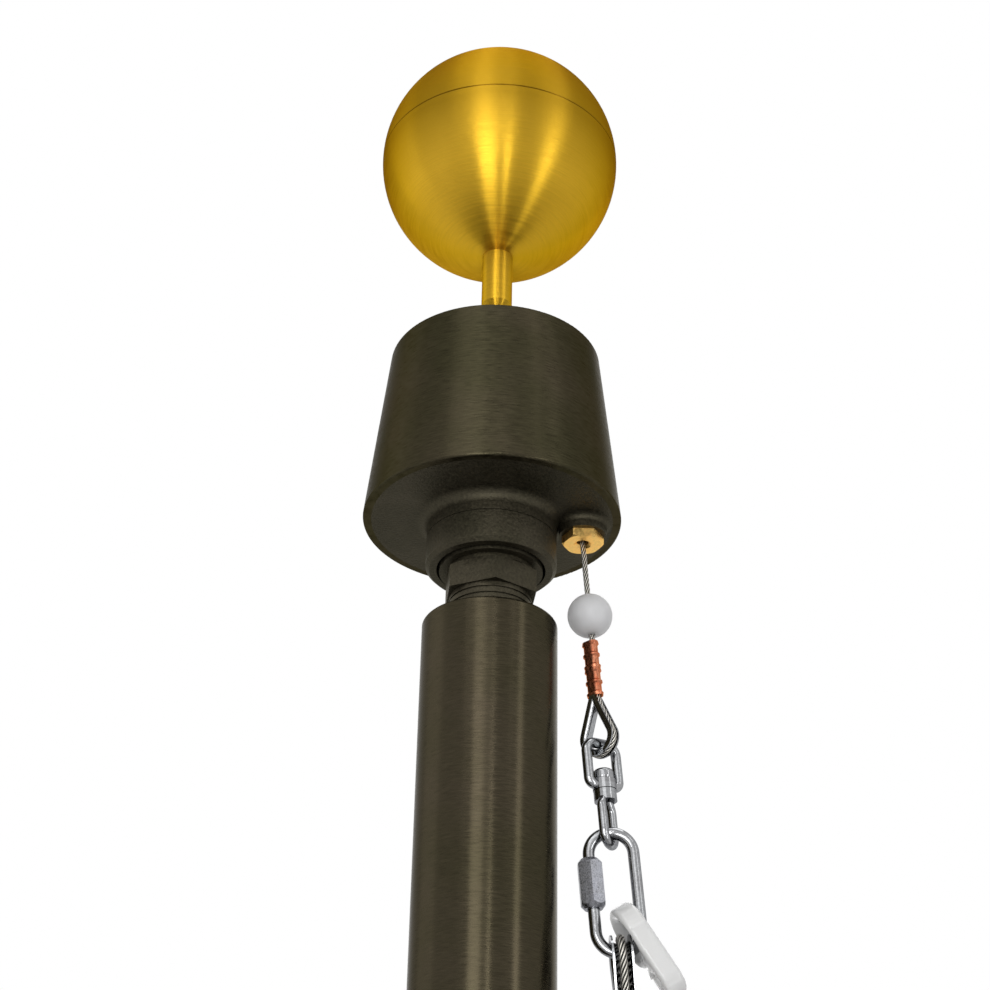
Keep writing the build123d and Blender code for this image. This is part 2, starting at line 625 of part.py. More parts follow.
def flag_snap():
    """The moulded nylon snap: a thick round eye, a straight spine, and a hook closed by its own tongue."""
    half = SNAP_THICKNESS / 2
    eye_outer = SNAP_EYE_RADIUS + SNAP_EYE_WALL
    crown = SNAP_END_WALL + SNAP_EYE_RADIUS
    hook_outer = SNAP_HOOK_RADIUS + SNAP_HOOK_WALL
    hook_drop = SNAP_LENGTH - crown - hook_outer
    hook_across = hook_outer - eye_outer
    outline = (
        Circle(eye_outer)
        + Pos(0, crown - eye_outer) * Circle(eye_outer)
        + Pos(-eye_outer, 0) * Rectangle(SNAP_SPINE_WIDTH, hook_drop, align=(Align.MIN, Align.MAX))
        + Pos(hook_across, -hook_drop) * Circle(hook_outer)
    )
    body = extrude((Plane.YZ * outline).face(), half, both=True)
    rims = body.faces().sort_by(Axis.X)[0].edges() + body.faces().sort_by(Axis.X)[-1].edges()
    body = fillet(rims, SNAP_EDGE_ROUND)
    eye = belled_hole(SNAP_EYE_RADIUS, SNAP_THICKNESS, SNAP_EYE_BELL)
    bight = belled_hole(SNAP_HOOK_RADIUS, SNAP_THICKNESS, SNAP_BIGHT_ROUND)
    mouth = Pos(0, hook_outer / 2, 2) * Box(2 * SNAP_THICKNESS, hook_outer, SNAP_MOUTH)
    tongue = Pos(0, SNAP_HOOK_RADIUS + 1.5, 3) * Rot(8, 0, 0) * Box(SNAP_THICKNESS - 3, 2.6, 15)
    hook = Pos(0, hook_across, -hook_drop)
    return snap_place(body - eye - hook * bight - hook * mouth + hook * tongue)


def belled_hole(radius, depth, bell):
    """The cutter for a hole along X whose edges are rounded over at both faces."""
    half = depth / 2
    lip = bell * (1 - cos(radians(45)))
    outline = (
        Polyline((0, -half - 1), (radius + bell, -half - 1), (radius + bell, -half))
        + ThreePointArc((radius + bell, -half), (radius + lip, -half + lip), (radius, -half + bell))
        + Line((radius, -half + bell), (radius, half - bell))
        + ThreePointArc((radius, half - bell), (radius + lip, half - lip), (radius + bell, half))
        + Polyline((radius + bell, half), (radius + bell, half + 1), (0, half + 1), (0, -half - 1))
    )
    return Rot(0, 90, 0) * revolve(Plane.XZ * make_face(outline), Axis.Z)


def snap_place(shape):
    """Puts the snap on the lower right of the link's bottom bend, leaning out from the chain."""
    side = LINK_WIDTH / 2 - LINK_BAR_RADIUS
    seat = radians(SNAP_SEAT_ANGLE)
    across = side * sin(seat)
    drop = LINK_BOTTOM - side + side * cos(seat)
    return chain_place(drop, 0, Pos(across, 0, 0) * Rot(0, -SNAP_LEAN, 0) * Pos(-SNAP_SHIFT, 0, -SNAP_HANG) * shape)


# The pendant's route as (across, up) from the upper thimble's crown centre, with its bends.
PENDANT_ROUTE = [
    (-2.3, -69.5), (-2.3, -26.8), (-11.52, 3.94), (0, 12.17), (11.52, 3.94), (2.3, -26.8),
    (2.3, -143.2), (11.52, -173.94), (0, -182.17), (-11.52, -173.94), (-2.3, -143.2), (-2.3, -100.5),
]
PENDANT_BENDS = [20, 9.9, 9.9, 9.9, 20, 20, 9.9, 9.9, 9.9, 20]
PENDANT_LOWER_CROWN = 170.0


def pendant_place(drop, shape):
    """Puts a piece on the pendant, at a drop below the centre of its upper crown."""
    return chain_place(PENDANT_CROWN + drop, 90, shape)


def pendant_cable():
    """The short wire pendant, with an eye at each end."""
    return pendant_place(0, cord(PENDANT_ROUTE, PENDANT_BENDS, PENDANT_CABLE_RADIUS))


def pendant_thimble(lower):
    """The thimble of one eye: the upper one crown up, the lower one crown down."""
    shape = thimble(PENDANT_CABLE_RADIUS, PENDANT_THIMBLE_WIDTH, PENDANT_THIMBLE_LENGTH, PENDANT_FLANK)
    if lower:
        return pendant_place(PENDANT_LOWER_CROWN, Rot(180, 0, 0) * shape)
    return pendant_place(0, shape)


def pendant_sleeve(lower):
    """The crimped sleeve of one eye, next to its thimble's tip."""
    reach = PENDANT_THIMBLE_LENGTH - thimble_rim(PENDANT_CABLE_RADIUS) + 0.5
    top = PENDANT_LOWER_CROWN - reach - PENDANT_SLEEVE_LENGTH if lower else reach
    return pendant_place(top, sleeve(PENDANT_CABLE_RADIUS, PENDANT_SLEEVE_LENGTH))


# ---------------------------------------------------------------- the sub-parts

save("pole_shaft", pole_shaft())
save("top_plug", top_plug())
save("spindle_neck", spindle_neck())
save("spindle_hex", spindle_hex())
save("spindle_collar", spindle_collar())
save("spindle_tube", spindle_tube())
save("retaining_nut", retaining_nut())

save("truck_housing", truck_housing())
save("truck_base", truck_base())
save("bearing_cap", bearing_cap())
save("lower_bush", bush(-HUB_SEAM_DEPTH))
save("upper_bush", bush(BEARING_TOWER_HEIGHT - BUSH_HEIGHT))
save("cable_bushing", cable_bushing())
save("stem_seat", stem_seat())
save("stem_nut", stem_nut())
save("finial_stem", finial_stem())
save("ball_lower", ball_half(-1))
save("ball_upper", ball_half(1))

save("halyard_cable", halyard_cable())
save("halyard_bead", halyard_bead())
save("halyard_sleeve_upper", halyard_sleeve(0))
save("halyard_sleeve_lower", halyard_sleeve(1))
save("halyard_thimble", halyard_thimble())

save("swivel_bow", swivel_bow())
save("swivel_pin", swivel_pin())
save("swivel_eye", swivel_eye())
save("quick_link", quick_link())
save("quick_link_nut", quick_link_nut())
save("flag_snap", flag_snap())

save("pendant_cable", pendant_cable())
save("pendant_thimble_upper", pendant_thimble(False))
save("pendant_thimble_lower", pendant_thimble(True))
save("pendant_sleeve_upper", pendant_sleeve(False))
save("pendant_sleeve_lower", pendant_sleeve(True))
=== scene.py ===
import json
import math
import bmesh
import bpy
from mathutils import Matrix, Vector

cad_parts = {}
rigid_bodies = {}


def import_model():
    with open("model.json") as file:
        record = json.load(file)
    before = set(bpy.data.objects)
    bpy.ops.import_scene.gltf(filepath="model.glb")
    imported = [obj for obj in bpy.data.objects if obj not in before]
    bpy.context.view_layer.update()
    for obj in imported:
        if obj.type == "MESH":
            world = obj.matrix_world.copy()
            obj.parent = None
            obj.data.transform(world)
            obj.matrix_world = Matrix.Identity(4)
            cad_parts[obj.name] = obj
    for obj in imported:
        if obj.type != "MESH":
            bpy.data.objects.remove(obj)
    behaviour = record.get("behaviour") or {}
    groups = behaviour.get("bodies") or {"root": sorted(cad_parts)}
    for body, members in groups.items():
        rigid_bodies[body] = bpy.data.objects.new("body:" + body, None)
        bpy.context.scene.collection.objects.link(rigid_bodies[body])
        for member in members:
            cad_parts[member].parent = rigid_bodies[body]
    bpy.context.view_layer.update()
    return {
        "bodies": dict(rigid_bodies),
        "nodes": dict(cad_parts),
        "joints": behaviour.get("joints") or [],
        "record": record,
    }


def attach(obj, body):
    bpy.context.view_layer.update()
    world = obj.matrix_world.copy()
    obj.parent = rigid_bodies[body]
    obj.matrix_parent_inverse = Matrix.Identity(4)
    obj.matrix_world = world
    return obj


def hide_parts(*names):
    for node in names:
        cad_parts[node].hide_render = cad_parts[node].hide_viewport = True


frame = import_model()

nodes = frame["nodes"]

# ---------------------------------------------------------------- camera
# The eye stands below and in front of the pole's head and looks up at it, as someone on the ground
# does through a long lens.
EYE = Vector((0.0, -0.95268, -0.04678))
EYE_TURN = (121.517, -1.007, -0.704)
LENS = 69.43
SENSOR_WIDTH = 36.0
NEAREST_SEEN = 0.01

lens = bpy.data.cameras.new("eye")
lens.lens = LENS
lens.sensor_width = SENSOR_WIDTH
lens.clip_start = NEAREST_SEEN
eye = bpy.data.objects.new("eye", lens)
eye.location = EYE
eye.rotation_euler = [math.radians(angle) for angle in EYE_TURN]
bpy.context.collection.objects.link(eye)
bpy.context.scene.camera = eye
bpy.context.scene.view_settings.view_transform = "Standard"


# ---------------------------------------------------------------- halyard wire
# Bare stainless wire rope, six strands laid round a core. It comes down through the bushing, goes
# round its thimble, and turns back into two crimped sleeves.
MILLIMETRE = 0.001
TRUCK_BASE = 0.5175
HALYARD_LEAN = math.radians(4.6)
HALYARD_TOP = Vector((0.051586, 0.0, TRUCK_BASE))
HALYARD_DIAMETER = 0.0032
HALYARD_LAY = 6.0 * HALYARD_DIAMETER
HALYARD_STEP = 0.0006
THIMBLE_TURN = math.radians(-40)
HALYARD_ROUTE = [
    (0, 50), (0, -100.5), (0, -112.5), (4.4, -123.7), (9.52, -136.75), (-1.65, -145.21),
    (-12.82, -136.75), (-7.7, -123.7), (-3.3, -112.5), (-3.3, -100.5), (-3.3, -74.6),
]
ROUTE_SMOOTHNESS = 48
OUTER_STRANDS = 6
STRAND_SIDES = 8
STRAND_FULLNESS = 1.04


def on_halyard(across, along, up, turn=0.0):
    """A point given in millimetres about the halyard's line, put on the truck."""
    point = Matrix.Rotation(turn, 3, "Z") @ Vector((across, along, up))
    return HALYARD_TOP + Matrix.Rotation(-HALYARD_LEAN, 3, "Y") @ point * MILLIMETRE


def route_line(name, points):
    """The smooth line that the rope follows, read from a NURBS curve through its route."""
    curve = bpy.data.curves.new(name, "CURVE")
    curve.dimensions = "3D"
    spline = curve.splines.new("NURBS")
    spline.points.add(len(points) - 1)
    for knot, point in zip(spline.points, points):
        knot.co = (*point, 1.0)
    spline.order_u = 3
    spline.use_endpoint_u = True
    curve.resolution_u = ROUTE_SMOOTHNESS
    holder = bpy.data.objects.new(name, curve)
    mesh = bpy.data.meshes.new_from_object(holder)
    line = [vertex.co.copy() for vertex in mesh.vertices]
    bpy.data.objects.remove(holder)
    bpy.data.meshes.remove(mesh)
    return line


def even_steps(line, step):
    """The same line with its points a fixed step apart."""
    rings = [line[0]]
    left = step
    for start, end in zip(line, line[1:]):
        span = (end - start).length
        while span >= left and span > 0:
            start = start.lerp(end, left / span)
            rings.append(start)
            span = (end - start).length
            left = step
        left -= span
    return rings


def ring_frames(rings):
    """At each ring, the way along the rope and two ways across it that don't turn about it."""
    befores = rings[:1] + rings[:-1]
    afters = rings[1:] + rings[-1:]
    side = (rings[1] - rings[0]).normalized().orthogonal().normalized()
    frames = []
    for before, after in zip(befores, afters):
        forward = (after - before).normalized()
        side = (side - forward * side.dot(forward)).normalized()
        frames.append((forward, side, forward.cross(side)))
    return frames


def strand_corners(ring, frame, turn, offset, radius):
    """The corners of one strand's section at a ring."""
    forward, side, rise = frame
    outward = math.cos(turn) * side + math.sin(turn) * rise
    sideways = forward.cross(outward)
    middle = ring + offset * outward
    corners = []
    for number in range(STRAND_SIDES):
        angle = 2 * math.pi * number / STRAND_SIDES
        corners.append(middle + radius * (math.cos(angle) * outward + math.sin(angle) * sideways))
    return corners


def strand_skin(shape, lay, before, after, low, high):
    """One step of a strand's skin. Its lay map runs round the strand, and then along it in millimetres."""
    for number in range(STRAND_SIDES):
        following = (number + 1) % STRAND_SIDES
        face = shape.faces.new((before[number], before[following], after[following], after[number]))
        face.smooth = True
        spots = ((number, low), (number + 1, low), (number + 1, high), (number, high))
        for spot, (across, along) in zip(face.loops, spots):
            spot[lay].uv = (across / STRAND_SIDES, along)


def rope(name, rings, diameter, lay_length):
    """Six strands and a core, each a tube a third as thick as the rope, twisted round the rings' line."""
    radius = diameter / 6
    step = (rings[1] - rings[0]).length
    frames = ring_frames(rings)
    shape = bmesh.new()
    lay = shape.loops.layers.uv.new("lay")
    for strand in range(OUTER_STRANDS + 1):
        offset = 0.0 if strand == OUTER_STRANDS else 2 * radius
        before = None
        for index, (ring, frame) in enumerate(zip(rings, frames)):
            turn = 2 * math.pi * (index * step / lay_length + strand / OUTER_STRANDS)
            corners = strand_corners(ring, frame, turn, offset, STRAND_FULLNESS * radius)
            loop = [shape.verts.new(corner) for corner in corners]
            if before:
                low, high = (index - 1) * step / MILLIMETRE, index * step / MILLIMETRE
                strand_skin(shape, lay, before, loop, low, high)
            else:
                shape.faces.new(list(reversed(loop)))
            before = loop
        shape.faces.new(before)
    mesh = bpy.data.meshes.new(name)
    shape.to_mesh(mesh)
    shape.free()
    piece = bpy.data.objects.new(name, mesh)
    bpy.context.collection.objects.link(piece)
    return piece


def new_material(name, **values):
    """A material with its Principled shader's own values set, and the shader and tree to build on."""
    material = bpy.data.materials.new(name)
    material.use_nodes = True
    shader = material.node_tree.nodes["Principled BSDF"]
    for socket, value in values.items():
        shader.inputs[socket.replace("_", " ")].default_value = value
    return material, material.node_tree, shader


def add_node(tree, kind, **values):
    """A shader node with its settings and unlinked inputs filled in."""
    made = tree.nodes.new(kind)
    for key, value in values.items():
        if hasattr(made, key):
            setattr(made, key, value)
        else:
            made.inputs[key.replace("_", " ")].default_value = value
    return made


def work_out(tree, operation, first, second=None):
    """A math node on one or two links or numbers."""
    made = add_node(tree, "ShaderNodeMath", operation=operation)
    for socket, value in zip(made.inputs, (first, second)):
        if isinstance(value, (int, float)):
            socket.default_value = value
        elif value is not None:
            tree.links.new(value, socket)
    return made.outputs[0]


def spread(tree, value, low, high, new_low=0.0, new_high=1.0):
    """A value mapped from one range to another, and held at its ends."""
    made = add_node(
        tree, "ShaderNodeMapRange", From_Min=low, From_Max=high, To_Min=new_low, To_Max=new_high)
    tree.links.new(value, made.inputs["Value"])
    return made.outputs[0]


def blend(tree, factor, first, second):
    """A colour between two others, which are colours or links."""
    made = add_node(tree, "ShaderNodeMix", data_type="RGBA")
    tree.links.new(factor, made.inputs[0])
    for socket, colour in ((made.inputs[6], first), (made.inputs[7], second)):
        if isinstance(colour, tuple):
            socket.default_value = (*colour, 1.0)
        else:
            tree.links.new(colour, socket)
    return made.outputs[2]


def emboss(tree, shader, height, strength, distance):
    """A bump under the shader's normal."""
    bump = add_node(tree, "ShaderNodeBump", Strength=strength, Distance=distance)
    tree.links.new(height, bump.inputs["Height"])
    tree.links.new(bump.outputs[0], shader.inputs["Normal"])


# The rope's lay map runs round each strand and then along it. A strand keeps its bright colour on its crown
# and is painted dark with shade where it dips in between its neighbours; each wire is painted light on top
# and dark in its grooves.
STRAND_VALLEY_SHADE = (0.012, 0.011, 0.010)
WIRE_SHADE = (0.28, 0.265, 0.235)
WIRE_LIGHT = (0.62, 0.60, 0.55)
WIRES_ROUND = 7
WIRE_SLANT = 0.35

rope_metal, tree, shader = new_material("wire_rope", Metallic=1.0, Roughness=0.3)
lay = add_node(tree, "ShaderNodeUVMap", uv_map="lay")
split = add_node(tree, "ShaderNodeSeparateXYZ")
tree.links.new(lay.outputs["UV"], split.inputs[0])
crown = work_out(tree, "COSINE", work_out(tree, "MULTIPLY", split.outputs["X"], 2 * math.pi))
crown = spread(tree, crown, 0.25, 0.85)
slant = work_out(tree, "MULTIPLY", split.outputs["Y"], WIRE_SLANT)
slant = work_out(tree, "ADD", slant, split.outputs["X"])
wires = work_out(tree, "SINE", work_out(tree, "MULTIPLY", slant, 2 * WIRES_ROUND * math.pi))
wires = spread(tree, wires, -1.0, 0.4)
# Painted light and shade: the wires' light and dark stripes, and the dark valleys between strands.
strand = blend(tree, wires, WIRE_SHADE, WIRE_LIGHT)
tree.links.new(blend(tree, crown, STRAND_VALLEY_SHADE, strand), shader.inputs["Base Color"])
tree.links.new(spread(tree, crown, 0.0, 1.0, 0.75, 0.28), shader.inputs["Roughness"])
emboss(tree, shader, wires, 0.5, 0.00008)

halyard_line = route_line("halyard_route", [on_halyard(x, 0, z, THIMBLE_TURN) for x, z in HALYARD_ROUTE])
halyard_rings = even_steps(halyard_line, HALYARD_STEP)
halyard_wire = rope("halyard_wire", halyard_rings, HALYARD_DIAMETER, HALYARD_LAY)
halyard_wire.data.materials.append(rope_metal)
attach(halyard_wire, "halyard")
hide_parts("halyard_cable")


# ---------------------------------------------------------------- pendant wire
# A heavier rope of the same make, with an eye at each end. Its upper eye hangs in the quick link,
# and its lower one is for whatever the flag's second corner is clipped to.
PENDANT_DIAMETER = 0.0045
PENDANT_LAY = 4.6 * PENDANT_DIAMETER
PENDANT_STEP = 0.0008
PENDANT_CROWN = 256.21
CHAIN_SHIFT = 1.65
PENDANT_ROUTE = [
    (-2.3, -69.5), (-2.3, -43), (-2.3, -26.8), (-7.1, -10.8), (-11.52, 3.94), (0, 12.17), (11.52, 3.94),
    (7.1, -10.8), (2.3, -26.8), (2.3, -43), (2.3, -127), (2.3, -143.2), (7.1, -159.2), (11.52, -173.94),
    (0, -182.17), (-11.52, -173.94), (-7.1, -159.2), (-2.3, -143.2), (-2.3, -127), (-2.3, -100.5),
]


def on_chain(across, along, up, drop=0.0):
    """A point on the chain under the thimble: the chain hangs from the middle of the halyard's eye."""
    shift = Matrix.Rotation(THIMBLE_TURN, 3, "Z") @ Vector((-CHAIN_SHIFT, 0, 0))
    return on_halyard(across + shift.x, along + shift.y, up - drop)


pendant_line = route_line("pendant_route", [on_chain(0, x, z, PENDANT_CROWN) for x, z in PENDANT_ROUTE])
pendant_rings = even_steps(pendant_line, PENDANT_STEP)
pendant_wire = rope("pendant_wire", pendant_rings, PENDANT_DIAMETER, PENDANT_LAY)
pendant_wire.data.materials.append(rope_metal)
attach(pendant_wire, "pendant")
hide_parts("pendant_cable")


# ---------------------------------------------------------------- pole
# An aluminium tube, turned and brushed round, then anodised dark bronze. The anodising is uneven in
# faint clouds, and the brush has left short dashes that run round the tube.


def make_marks():
    """The group that every metal shares: dashes left by a tool, and clouds in the finish."""
    group = bpy.data.node_groups.new("metal_marks", "ShaderNodeTree")
    face = group.interface
    face.new_socket("Colour", in_out="INPUT", socket_type="NodeSocketColor")
    face.new_socket("Tint", in_out="INPUT", socket_type="NodeSocketColor")
    face.new_socket("Stretch", in_out="INPUT", socket_type="NodeSocketVector")
    for socket in ("Dash Depth", "Cloud Scale", "Cloud Depth", "Rough Low", "Rough High"):
        face.new_socket(socket, in_out="INPUT", socket_type="NodeSocketFloat")
    face.new_socket("Colour", in_out="OUTPUT", socket_type="NodeSocketColor")
    face.new_socket("Roughness", in_out="OUTPUT", socket_type="NodeSocketFloat")
    face.new_socket("Height", in_out="OUTPUT", socket_type="NodeSocketFloat")
    given = group.nodes.new("NodeGroupInput")
    taken = group.nodes.new("NodeGroupOutput")

    place = add_node(group, "ShaderNodeTexCoord")
    fit = add_node(group, "ShaderNodeVectorMath", operation="MULTIPLY")
    group.links.new(place.outputs["Object"], fit.inputs[0])
    group.links.new(given.outputs["Stretch"], fit.inputs[1])
    dash = add_node(group, "ShaderNodeTexNoise", Scale=1.0, Detail=3.0, Roughness=0.6)
    group.links.new(fit.outputs[0], dash.inputs["Vector"])
    cloud = add_node(group, "ShaderNodeTexNoise", Detail=4.0)
    group.links.new(place.outputs["Object"], cloud.inputs["Vector"])
    group.links.new(given.outputs["Cloud Scale"], cloud.inputs["Scale"])

    dashes = spread(group, dash.outputs["Fac"], 0.3, 0.7, -0.5, 0.5)
    dashes = work_out(group, "MULTIPLY", dashes, given.outputs["Dash Depth"])
    clouds = spread(group, cloud.outputs["Fac"], 0.35, 0.65, -0.5, 0.5)
    depth = work_out(group, "MULTIPLY", clouds, given.outputs["Cloud Depth"])
    level = work_out(group, "ADD", work_out(group, "ADD", dashes, depth), 1.0)
    shade = add_node(group, "ShaderNodeCombineXYZ")
    for socket in shade.inputs:
        group.links.new(level, socket)
    mixed = spread(group, clouds, -0.5, 0.5)
    tinted = blend(group, mixed, given.outputs["Colour"], given.outputs["Tint"])
    colour = add_node(group, "ShaderNodeVectorMath", operation="MULTIPLY")
    group.links.new(tinted, colour.inputs[0])
    group.links.new(shade.outputs[0], colour.inputs[1])
    group.links.new(colour.outputs[0], taken.inputs["Colour"])

    rough = add_node(group, "ShaderNodeMapRange", From_Min=0.3, From_Max=0.7)
    group.links.new(dash.outputs["Fac"], rough.inputs["Value"])
    group.links.new(given.outputs["Rough Low"], rough.inputs["To Min"])
    group.links.new(given.outputs["Rough High"], rough.inputs["To Max"])
    group.links.new(rough.outputs[0], taken.inputs["Roughness"])
    group.links.new(dash.outputs["Fac"], taken.inputs["Height"])
    return group


metal_marks = make_marks()


def mark(tree, shader, colour, tint, stretch, dashes, cloud_scale, clouds, roughness):
    """Puts the shared marks on a metal, and hands back their height."""
    group = add_node(tree, "ShaderNodeGroup", node_tree=metal_marks)
    group.inputs["Colour"].default_value = (*colour, 1.0)
    group.inputs["Tint"].default_value = (*tint, 1.0)
    group.inputs["Stretch"].default_value = stretch
    group.inputs["Dash Depth"].default_value = dashes
    group.inputs["Cloud Scale"].default_value = cloud_scale
    group.inputs["Cloud Depth"].default_value = clouds
    group.inputs["Rough Low"].default_value = roughness[0]
    group.inputs["Rough High"].default_value = roughness[1]
    tree.links.new(group.outputs["Colour"], shader.inputs["Base Color"])
    tree.links.new(group.outputs["Roughness"], shader.inputs["Roughness"])
    return group.outputs["Height"]


def turned_grain(tree, shader):
    """Lays the shine across the rings that the lathe or brush left about the pole's axis."""
    way = add_node(tree, "ShaderNodeTangent", direction_type="RADIAL", axis="Z")
    tree.links.new(way.outputs[0], shader.inputs["Tangent"])


def dress(names, material):
    """Gives CAD nodes their material."""
    for name in names:
        nodes[name].data.materials.clear()
        nodes[name].data.materials.append(material)


pole_bronze, tree, shader = new_material(
    "pole_bronze", Metallic=1.0, Anisotropic=0.9, Anisotropic_Rotation=0.25,
    Specular_Tint=(0.58, 0.57, 0.55, 1))
height = mark(
    tree, shader, colour=(0.041, 0.036, 0.020), tint=(0.045, 0.037, 0.024), stretch=(170, 170, 1700),
    dashes=0.45, cloud_scale=14.0, clouds=0.16, roughness=(0.22, 0.34))
emboss(tree, shader, height, 0.5, 0.00005)
turned_grain(tree, shader)
dress(["pole_shaft"], pole_bronze)

# ---------------------------------------------------------------- truck's housing
# The cone is turned on a lathe and anodised like the pole. Its tool marks are a little coarser, in
# short dashes round it.
truck_bronze, tree, shader = new_material(
    "truck_bronze", Metallic=1.0, Anisotropic=0.85, Anisotropic_Rotation=0.25,
    Specular_Tint=(0.46, 0.45, 0.43, 1))
height = mark(
    tree, shader, colour=(0.040, 0.036, 0.020), tint=(0.044, 0.037, 0.023), stretch=(160, 160, 1400),
    dashes=0.5, cloud_scale=20.0, clouds=0.14, roughness=(0.26, 0.42))
emboss(tree, shader, height, 0.7, 0.00008)
turned_grain(tree, shader)
dress(["truck_housing"], truck_bronze)

# ---------------------------------------------------------------- cast pieces under the truck
# The base with its hub and boss, the bearing cap and the spindle's outer pieces are sand-cast or
# rough-turned aluminium, anodised with the rest, with an even grain.
cast_bronze, tree, shader = new_material(
    "cast_bronze", Metallic=0.9, Specular_Tint=(0.7, 0.68, 0.62, 1))
height = mark(
    tree, shader, colour=(0.040, 0.036, 0.023), tint=(0.046, 0.040, 0.027), stretch=(650, 650, 650),
    dashes=0.6, cloud_scale=34.0, clouds=0.22, roughness=(0.42, 0.58))
emboss(tree, shader, height, 0.9, 0.0003)
dress(["truck_base", "bearing_cap", "spindle_neck", "spindle_hex", "spindle_collar", "top_plug"], cast_bronze)

# ---------------------------------------------------------------- gold finial
# The ball is two spun aluminium halves pressed together at its waist, brushed round and anodised
# gold. Painted shade: the gold is painted darker from just below its waist up, and the seam is painted as
# a dark line, the joint's own line with painted shade in its crease. The stem, its nut and seat are turned
# from bar with the same finish.
BALL_SEAM = 0.7895
SEAM_REACH = (0.0003, 0.0007)
PAINTED_SHADE_FOOT = BALL_SEAM - 0.044
PAINTED_SHADE_HEAD = BALL_SEAM - 0.006

satin_gold, tree, shader = new_material(
    "satin_gold", Metallic=1.0, Anisotropic=1.0, Anisotropic_Rotation=0.25,
    Specular_Tint=(0.08, 0.04, 0.0, 1))
height = mark(
    tree, shader, colour=(0.56, 0.335, 0.022), tint=(0.64, 0.385, 0.030), stretch=(45, 45, 1700),
    dashes=0.24, cloud_scale=9.0, clouds=0.14, roughness=(0.32, 0.44))
marked = shader.inputs["Base Color"].links[0].from_socket
place = add_node(tree, "ShaderNodeTexCoord")
split = add_node(tree, "ShaderNodeSeparateXYZ")
tree.links.new(place.outputs["Object"], split.inputs[0])
# Painted shade: the gold is painted deeper from just below the waist up, for the darker surroundings the
# upper half reflects.
shade_from_waist_up = spread(tree, split.outputs["Z"], PAINTED_SHADE_FOOT, PAINTED_SHADE_HEAD)
gold_with_painted_shade = blend(tree, shade_from_waist_up, marked, (0.35, 0.205, 0.014))
# The seam is painted as a dark line: the joint's own line, and painted shade in its crease.
off_seam = work_out(tree, "ABSOLUTE", work_out(tree, "SUBTRACT", split.outputs["Z"], BALL_SEAM))
off_seam = spread(tree, off_seam, *SEAM_REACH)
tree.links.new(blend(tree, off_seam, (0.17, 0.09, 0.006), gold_with_painted_shade), shader.inputs["Base Color"])
emboss(tree, shader, height, 0.9, 0.00014)
turned_grain(tree, shader)
dress(["ball_lower", "ball_upper", "finial_stem", "stem_nut", "stem_seat"], satin_gold)

# ---------------------------------------------------------------- brass bushing and bronze bearings
# Turned from bar: the halyard's bushing in brass, gone a little brown, and the spindle's bushes in
# bearing bronze.
turned_brass, tree, shader = new_material(
    "turned_brass", Metallic=1.0, Specular_Tint=(0.9, 0.75, 0.5, 1))
height = mark(
    tree, shader, colour=(0.92, 0.61, 0.20), tint=(0.78, 0.46, 0.14), stretch=(700, 700, 700),
    dashes=0.25, cloud_scale=160.0, clouds=0.25, roughness=(0.3, 0.5))
emboss(tree, shader, height, 0.25, 0.00006)
dress(["cable_bushing", "lower_bush", "upper_bush"], turned_brass)

# ---------------------------------------------------------------- steel fittings
# The swivel, the quick link and the thimbles are bright zinc-plated steel, rubbed and lightly
# scratched. The nut has the frosted look of thicker plating.
bright_steel, tree, shader = new_material(
    "bright_steel", Metallic=1.0, Specular_Tint=(0.38, 0.38, 0.39, 1))
height = mark(
    tree, shader, colour=(0.40, 0.41, 0.42), tint=(0.22, 0.22, 0.225), stretch=(600, 600, 900),
    dashes=0.4, cloud_scale=90.0, clouds=0.45, roughness=(0.07, 0.16))
emboss(tree, shader, height, 0.12, 0.0001)
dress([
    "swivel_bow", "swivel_pin", "swivel_eye", "quick_link", "halyard_thimble", "pendant_thimble_upper",
    "pendant_thimble_lower", "spindle_tube", "retaining_nut"], bright_steel)

frosted_zinc, tree, shader = new_material(
    "frosted_zinc", Metallic=1.0, Specular_Tint=(0.8, 0.8, 0.8, 1))
height = mark(
    tree, shader, colour=(0.34, 0.345, 0.37), tint=(0.24, 0.245, 0.27), stretch=(1500, 1500, 1500),
    dashes=0.9, cloud_scale=260.0, clouds=0.5, roughness=(0.26, 0.44))
emboss(tree, shader, height, 0.7, 0.00012)
dress(["quick_link_nut"], frosted_zinc)

# ---------------------------------------------------------------- copper sleeves
# Soft copper sleeves, crimped on with a hand tool, which leaves ridges between its bites and a
# brighter, rubbed skin on them.
crimped_copper, tree, shader = new_material(
    "crimped_copper", Metallic=1.0, Specular_Tint=(0.9, 0.6, 0.4, 1))
height = mark(
    tree, shader, colour=(0.55, 0.215, 0.120), tint=(0.30, 0.085, 0.042), stretch=(900, 900, 400),
    dashes=0.5, cloud_scale=240.0, clouds=0.5, roughness=(0.22, 0.40))
emboss(tree, shader, height, 0.3, 0.00012)
dress([
    "halyard_sleeve_upper", "halyard_sleeve_lower", "pendant_sleeve_upper", "pendant_sleeve_lower"],
    crimped_copper)


# ---------------------------------------------------------------- nylon bead
# A plain nylon ball that the halyard runs through, above its sleeves. It is turned and drilled, and
# its matt skin lets some light in.
def cloud_nylon(tree, shader, scale, detail, shade, light):
    """Clouds a nylon's colour a little, and hands the clouds back."""
    haze = add_node(tree, "ShaderNodeTexNoise", Scale=scale, Detail=detail)
    place = add_node(tree, "ShaderNodeTexCoord")
    tree.links.new(place.outputs["Object"], haze.inputs["Vector"])
    clouds = haze.outputs["Fac"]
    tree.links.new(blend(tree, spread(tree, clouds, 0.3, 0.7), shade, light), shader.inputs["Base Color"])
    return clouds


bead_nylon, tree, shader = new_material(
    "bead_nylon", Roughness=0.55, Sheen_Weight=0.6, Sheen_Roughness=0.45, Subsurface_Weight=1.0,
    Subsurface_Radius=(0.03, 0.03, 0.03), Subsurface_Scale=1.0)
cloud_nylon(tree, shader, scale=90.0, detail=3.0, shade=(0.57, 0.57, 0.58), light=(0.62, 0.62, 0.63))
dress(["halyard_bead"], bead_nylon)

